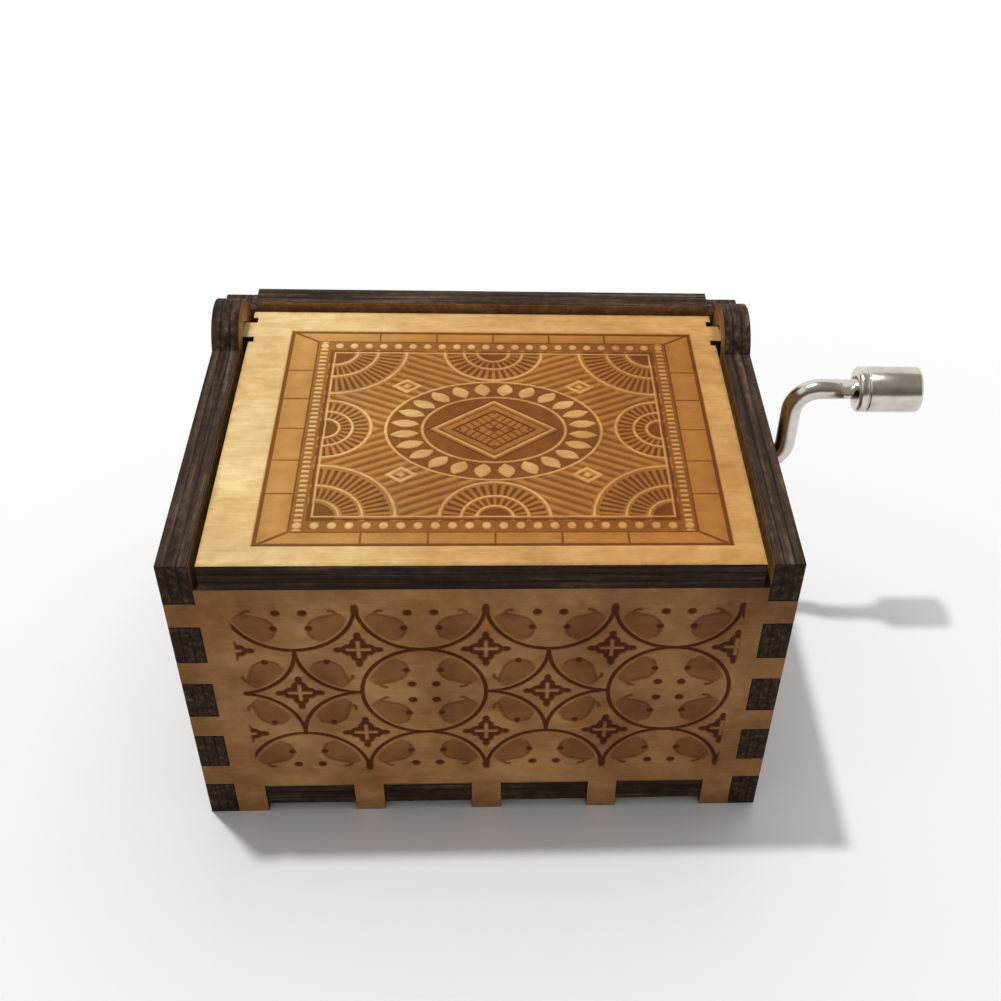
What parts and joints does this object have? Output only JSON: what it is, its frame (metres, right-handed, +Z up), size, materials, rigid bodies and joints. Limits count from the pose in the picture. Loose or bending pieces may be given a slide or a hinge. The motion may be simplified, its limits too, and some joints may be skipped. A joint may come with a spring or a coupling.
{
  "type": "hand-cranked music box",
  "caption": "Small hand-cranked musical movement in a finger-jointed plywood case, with an engraved lid that swings on wooden tabs and a bent wire crank with a spinning knob.",
  "frame": {"origin": "on the surface that the feet stand on, under the middle of the whole object with the crank, which is 10.6 mm from the middle of the wooden case towards the crank", "axes": "+X to the crank side, +Y from the front to the hinge side at the back, +Z up"},
  "size_m": [0.0852, 0.05, 0.0424],
  "materials": {
    "birch_plywood": "unfinished pale plywood, engraved by laser, with burnt dark edges",
    "cast_zinc": "as-cast zinc alloy, dull grey",
    "plated_sheet_steel": "zinc plated",
    "plated_screw_steel": "zinc plated",
    "comb_steel": "ground spring steel",
    "lead": "dull lead",
    "damper_film": "thin translucent film",
    "brass": "bright rolled brass",
    "cap_plastic": "moulded, off-white",
    "arbor_steel": "ground",
    "gear_nylon": "moulded nylon, off-white",
    "nickel_plate": "bright nickel plate"
  },
  "bodies": {
    "case": {"front_panel": "birch_plywood", "back_panel": "birch_plywood", "left_panel": "birch_plywood", "right_panel": "birch_plywood", "bottom_panel": "birch_plywood", "movement_bedplate": "cast_zinc", "cylinder_bearing_bracket": "plated_sheet_steel", "bracket_screw": "plated_screw_steel", "mounting_screws": "plated_screw_steel", "comb": "comb_steel", "comb_screws": "plated_screw_steel", "comb_bass_weights": "lead", "comb_dampers": "damper_film"},
    "lid": {"lid": "birch_plywood"},
    "crank": {"crank_wire": "nickel_plate", "crank_worm": "gear_nylon", "retaining_clip": "plated_sheet_steel"},
    "knob": {"crank_knob": "nickel_plate"},
    "cylinder": {"cylinder_sleeve": "brass", "cylinder_front_cap": "cap_plastic", "cylinder_rear_cap": "cap_plastic", "cylinder_arbor": "arbor_steel", "worm_wheel": "gear_nylon"}
  },
  "joints": [
    {"name": "lid_hinge", "type": "hinge", "parent": "case", "child": "lid", "pos_m": [-0.0106, 0.017, 0.0374], "axis": [-1, 0, 0], "range_deg": [0, 134]},
    {"name": "crank_spin", "type": "hinge", "parent": "case", "child": "crank", "pos_m": [-0.0056, 0.011, 0.0238], "axis": [1, 0, 0], "continuous": true},
    {"name": "cylinder_spin", "type": "hinge", "parent": "case", "child": "cylinder", "pos_m": [-0.0056, 0, 0.0154], "axis": [0, 1, 0], "continuous": true},
    {"name": "knob_spin", "type": "hinge", "parent": "crank", "child": "knob", "pos_m": [0.0384, 0.011, 0.035], "axis": [1, 0, 0], "continuous": true}
  ],
  "couplings": [
    {"joint": "cylinder_spin", "follows": "crank_spin", "ratio": -0.041667}
  ]
}
